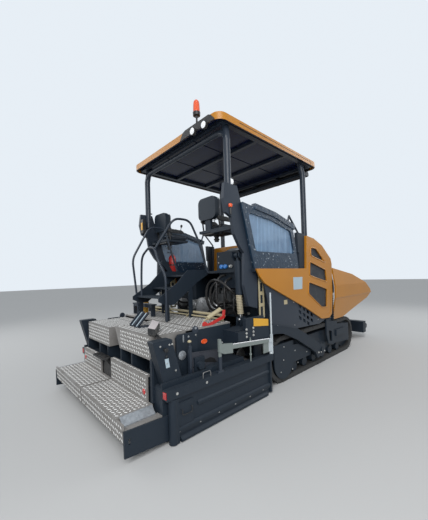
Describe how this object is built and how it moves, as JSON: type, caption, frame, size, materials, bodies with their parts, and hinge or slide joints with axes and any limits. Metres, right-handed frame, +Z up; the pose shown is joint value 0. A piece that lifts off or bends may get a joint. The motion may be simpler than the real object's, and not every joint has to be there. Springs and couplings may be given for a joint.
{
  "type": "tracked asphalt paver",
  "caption": "Tracked road paver with a folding hopper, slat conveyor, auger, canopy over an open platform, and a towed extending screed with walkways.",
  "frame": {"origin": "centre of the bounding box's base, on the ground the tracks stand on", "axes": "+Y forward towards the hopper, +X to the machine's right, +Z up"},
  "size_m": [2.6, 6.825, 4.245],
  "materials": {
    "frame_dark": "satin dark paint",
    "body_yellow": "gloss amber paint",
    "engine_grey": "painted casting",
    "steel": "worn bare steel",
    "tread_plate": "chequered plate",
    "track_rubber": "rubber pads on steel",
    "grille_black": "matte",
    "cushion_black": "vinyl cover",
    "pane": "clear film with water streaks",
    "lamp": "lens and housing",
    "chrome_rod": "polished",
    "mast_blue": "pale blue paint",
    "hose_black": "hose cover"
  },
  "bodies": {
    "tractor": {"chassis": "frame_dark", "engine_block": "engine_grey", "engine_hood": "body_yellow", "side_panels": "body_yellow", "cowl_grilles": "grille_black", "skirts": "frame_dark", "track_frames": "frame_dark", "track_left": "track_rubber", "track_right": "track_rubber", "hopper_back": "frame_dark", "conveyor": "steel", "push_beam": "frame_dark", "auger_carrier": "frame_dark", "tanks": "frame_dark", "hydraulics": "engine_grey", "platform_deck": "frame_dark", "console": "frame_dark", "seat_frames": "frame_dark", "seat_cushions": "cushion_black", "screens": "frame_dark", "screen_panes": "pane", "guard_rails": "frame_dark", "canopy_frame": "frame_dark", "canopy_roof": "body_yellow", "roof_lamps": "lamp", "hose_1": "hose_black", "hose_2": "hose_black", "hose_3": "hose_black"},
    "wing_left": {"hopper_wing_left": "body_yellow"},
    "wing_right": {"hopper_wing_right": "body_yellow"},
    "push_roller_left": {"push_roller_left": "steel"},
    "push_roller_right": {"push_roller_right": "steel"},
    "auger_left": {"auger_left": "steel"},
    "auger_right": {"auger_right": "steel"},
    "lift_barrel_left": {"lift_barrel_left": "frame_dark"},
    "lift_barrel_right": {"lift_barrel_right": "frame_dark"},
    "lift_rod_left": {"lift_rod_left": "chrome_rod"},
    "lift_rod_right": {"lift_rod_right": "chrome_rod"},
    "screed": {"screed_main": "frame_dark", "screed_deck": "tread_plate", "stair": "frame_dark", "stair_rails": "frame_dark", "tow_arms": "frame_dark"},
    "extension_left": {"extension_left": "frame_dark", "walkway_left": "tread_plate", "end_gate_left": "frame_dark", "sensor_mast_left": "mast_blue"},
    "extension_right": {"extension_right": "frame_dark", "walkway_right": "tread_plate", "end_gate_right": "frame_dark", "sensor_mast_right": "mast_blue"}
  },
  "joints": [
    {"name": "hopper_wing_left", "type": "hinge", "parent": "tractor", "child": "wing_left", "pos_m": [-0.5, 1.9875, 0.74], "axis": [0, 1, 0], "range_deg": [0, 24]},
    {"name": "push_roller_left_spin", "type": "hinge", "parent": "tractor", "child": "push_roller_left", "pos_m": [-0.5, 3.3125, 0.275], "axis": [1, 0, 0], "continuous": true},
    {"name": "auger_left_spin", "type": "hinge", "parent": "tractor", "child": "auger_left", "pos_m": [-0.5, -1.3625, 0.4], "axis": [1, 0, 0], "continuous": true},
    {"name": "hopper_wing_right", "type": "hinge", "parent": "tractor", "child": "wing_right", "pos_m": [0.5, 1.9875, 0.74], "axis": [0, -1, 0], "range_deg": [0, 24]},
    {"name": "push_roller_right_spin", "type": "hinge", "parent": "tractor", "child": "push_roller_right", "pos_m": [0.5, 3.3125, 0.275], "axis": [1, 0, 0], "continuous": true},
    {"name": "auger_right_spin", "type": "hinge", "parent": "tractor", "child": "auger_right", "pos_m": [0.5, -1.3625, 0.4], "axis": [1, 0, 0], "continuous": true},
    {"name": "screed_lift", "type": "hinge", "parent": "tractor", "child": "screed", "pos_m": [0, 0.3675, 0.28], "axis": [-1, 0, 0], "range_deg": [0, 6]},
    {"name": "extension_left_slide", "type": "slide", "parent": "screed", "child": "extension_left", "axis": [-1, 0, 0], "range_m": [0, 1.1]},
    {"name": "lift_barrel_left_swing", "type": "hinge", "parent": "tractor", "child": "lift_barrel_left", "pos_m": [-1, -1.5825, 1.98], "axis": [1, 0, 0], "range_deg": [0, 7.7]},
    {"name": "lift_rod_left_slide", "type": "slide", "parent": "lift_barrel_left", "child": "lift_rod_left", "axis": [0, -0.043, 0.9991], "range_m": [0, 0.18521]},
    {"name": "extension_right_slide", "type": "slide", "parent": "screed", "child": "extension_right", "axis": [1, 0, 0], "range_m": [0, 1.1]},
    {"name": "lift_barrel_right_swing", "type": "hinge", "parent": "tractor", "child": "lift_barrel_right", "pos_m": [1, -1.5825, 1.98], "axis": [1, 0, 0], "range_deg": [0, 7.7]},
    {"name": "lift_rod_right_slide", "type": "slide", "parent": "lift_barrel_right", "child": "lift_rod_right", "axis": [0, -0.043, 0.9991], "range_m": [0, 0.18521]}
  ],
  "couplings": [
    {"joint": "lift_barrel_left_swing", "follows": "screed_lift", "ratio": 1.2742},
    {"joint": "lift_rod_left_slide", "follows": "screed_lift", "m_per_rad": 1.7638},
    {"joint": "lift_barrel_right_swing", "follows": "screed_lift", "ratio": 1.2742},
    {"joint": "lift_rod_right_slide", "follows": "screed_lift", "m_per_rad": 1.7638}
  ]
}
